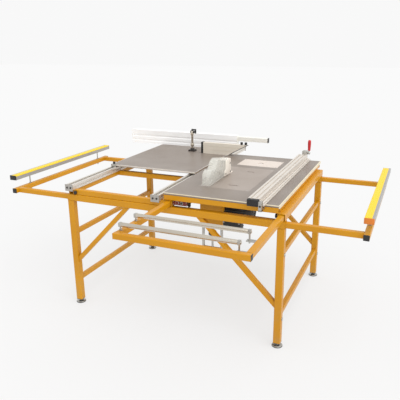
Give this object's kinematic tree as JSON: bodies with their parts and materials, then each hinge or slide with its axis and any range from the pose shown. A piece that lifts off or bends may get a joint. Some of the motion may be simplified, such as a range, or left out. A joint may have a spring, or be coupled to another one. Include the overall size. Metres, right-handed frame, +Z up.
{
  "type": "panel saw",
  "caption": "Portable sliding-table panel saw on a tubular stand with telescopic side and front supports, rip fence, crosscut fences, blade guard and lifting saw unit.",
  "frame": {"origin": "on the floor, at the centre of the whole machine outline with the extensions as pictured", "axes": "+X to the right of the operator, across the feed; +Y along the feed, away from the operator; +Z up"},
  "size_m": [2.212, 2.02, 0.99],
  "materials": {
    "yellow_paint": "yellow-orange powder coat on steel tube",
    "table_top": "glossy taupe laminate on board",
    "insert_plate": "light anodised plate",
    "aluminium": "satin anodised extrusion",
    "bar_aluminium": "grey extrusion with a yellow top",
    "steel": "bright zinc plated",
    "black_plastic": "moulded black",
    "motor_black": "black painted casting",
    "clear_plastic": "clear moulded shell",
    "guard_mount": "off-white moulded block",
    "red_plastic": "red moulded grip"
  },
  "bodies": {
    "frame": {"blade_plate": "insert_plate", "braces": "yellow_paint", "cable_gland": "black_plastic", "extension_sleeves": "yellow_paint", "frame_bolts": "steel", "guard_bracket": "guard_mount", "guide_rails": "aluminium", "legs": "yellow_paint", "levelling_feet": "steel", "lift_posts": "steel", "main_beams": "yellow_paint", "main_table": "table_top", "rail_bearers": "yellow_paint", "rail_end_plates": "steel", "router_plate": "insert_plate", "saw_hanger": "yellow_paint", "side_rails": "yellow_paint", "switch_box": "black_plastic", "table_apron": "yellow_paint", "table_edge_trim": "aluminium"},
    "sliding_table": {"sliding_table": "table_top", "wheel_brackets": "steel", "long_fence": "aluminium", "short_fence": "aluminium", "hold_down_base": "steel", "hold_down_post": "steel"},
    "front_wheels": {"front_wheels": "steel"},
    "rear_wheels": {"rear_wheels": "steel"},
    "fence_extension": {"fence_extension": "aluminium"},
    "hold_down_lever": {"hold_down_lever": "black_plastic"},
    "rip_fence": {"rip_fence": "aluminium", "rip_fence_head": "black_plastic", "rip_fence_clamp": "steel"},
    "rip_lever": {"rip_lever": "red_plastic"},
    "lift_drive": {"lift_screw": "steel", "lift_knob": "black_plastic"},
    "saw_carriage": {"saw_carriage": "yellow_paint", "motor": "motor_black"},
    "arbor": {"saw_arbor": "steel", "saw_blade": "steel"},
    "blade_guard": {"blade_guard": "clear_plastic"},
    "start_button": {"start_button": "black_plastic"},
    "stop_button": {"stop_button": "red_plastic"},
    "rail_lock_knob": {"rail_lock_knob": "black_plastic"},
    "sleeve_lock_knob": {"sleeve_lock_knob": "black_plastic"},
    "left_extension": {"left_arms": "yellow_paint", "left_cross_tube": "yellow_paint", "left_bar_posts": "steel", "left_support_bar": "bar_aluminium", "left_end_caps": "black_plastic"},
    "right_extension": {"right_arms": "yellow_paint", "right_cross_tube": "yellow_paint", "right_bar_posts": "steel", "right_support_bar": "bar_aluminium", "right_end_caps": "black_plastic"},
    "front_extension": {"front_arms": "yellow_paint", "front_cross_tube": "yellow_paint", "roller_posts": "steel"},
    "front_roller": {"front_roller": "steel"},
    "rear_roller": {"rear_roller": "steel"}
  },
  "joints": [
    {"name": "table_slide", "type": "slide", "parent": "frame", "child": "sliding_table", "axis": [0, 1, 0], "range_m": [-0.5, 0.24]},
    {"name": "front_wheel_spin", "type": "hinge", "parent": "sliding_table", "child": "front_wheels", "pos_m": [-0.6455, 0.063, 0.7878], "axis": [1, 0, 0], "continuous": true},
    {"name": "rear_wheel_spin", "type": "hinge", "parent": "sliding_table", "child": "rear_wheels", "pos_m": [-0.6455, 0.733, 0.7878], "axis": [1, 0, 0], "continuous": true},
    {"name": "fence_extension_slide", "type": "slide", "parent": "sliding_table", "child": "fence_extension", "axis": [1, 0, 0], "range_m": [-0.23, 0.25]},
    {"name": "hold_down_turn", "type": "hinge", "parent": "sliding_table", "child": "hold_down_lever", "pos_m": [-0.3225, 0.6, 0.966], "axis": [1, 0, 0], "range_deg": [0, 90]},
    {"name": "rip_slide", "type": "slide", "parent": "frame", "child": "rip_fence", "axis": [1, 0, 0], "range_m": [-0.28, 0.055]},
    {"name": "rip_lever_turn", "type": "hinge", "parent": "rip_fence", "child": "rip_lever", "pos_m": [0.5555, 0.626, 0.866], "axis": [1, 0, 0], "range_deg": [-80, 0]},
    {"name": "lift_slide", "type": "slide", "parent": "frame", "child": "saw_carriage", "axis": [0, 0, 1], "range_m": [-0.065, 0.012]},
    {"name": "lift_screw_turn", "type": "hinge", "parent": "frame", "child": "lift_drive", "pos_m": [0.2035, -0.282, 0.6], "axis": [0, 0, 1], "range_deg": [-2360, 440]},
    {"name": "arbor_spin", "type": "hinge", "parent": "saw_carriage", "child": "arbor", "pos_m": [0.1645, -0.11, 0.73], "axis": [1, 0, 0], "continuous": true},
    {"name": "guard_swing", "type": "hinge", "parent": "frame", "child": "blade_guard", "pos_m": [0.1645, 0.041, 0.892], "axis": [1, 0, 0], "range_deg": [-60, 0]},
    {"name": "start_press", "type": "slide", "parent": "frame", "child": "start_button", "axis": [0, 1, 0], "range_m": [0, 0.004], "stiffness_N_per_m": 300},
    {"name": "stop_press", "type": "slide", "parent": "frame", "child": "stop_button", "axis": [0, 1, 0], "range_m": [0, 0.004], "stiffness_N_per_m": 300},
    {"name": "rail_lock_turn", "type": "hinge", "parent": "frame", "child": "rail_lock_knob", "pos_m": [-0.6125, -0.47, 0.753], "axis": [0, 1, 0], "range_deg": [-180, 180]},
    {"name": "sleeve_lock_turn", "type": "hinge", "parent": "frame", "child": "sleeve_lock_knob", "pos_m": [0.6275, -0.445, 0.757], "axis": [1, 0, 0], "range_deg": [-180, 180]},
    {"name": "left_extend", "type": "slide", "parent": "frame", "child": "left_extension", "axis": [-1, 0, 0], "range_m": [-0.34, 0.06]},
    {"name": "right_extend", "type": "slide", "parent": "frame", "child": "right_extension", "axis": [1, 0, 0], "range_m": [-0.34, 0.06]},
    {"name": "front_extend", "type": "slide", "parent": "frame", "child": "front_extension", "axis": [0, -1, 0], "range_m": [-0.24, 0.06]},
    {"name": "front_roller_spin", "type": "hinge", "parent": "front_extension", "child": "front_roller", "pos_m": [0.3125, -0.96, 0.801], "axis": [1, 0, 0], "continuous": true},
    {"name": "rear_roller_spin", "type": "hinge", "parent": "front_extension", "child": "rear_roller", "pos_m": [0.3125, -0.82, 0.801], "axis": [1, 0, 0], "continuous": true}
  ],
  "couplings": [
    {"joint": "front_wheel_spin", "follows": "table_slide", "rad_per_m": -86.957},
    {"joint": "rear_wheel_spin", "follows": "table_slide", "rad_per_m": -86.957},
    {"joint": "lift_screw_turn", "follows": "lift_slide", "rad_per_m": 628.32}
  ]
}
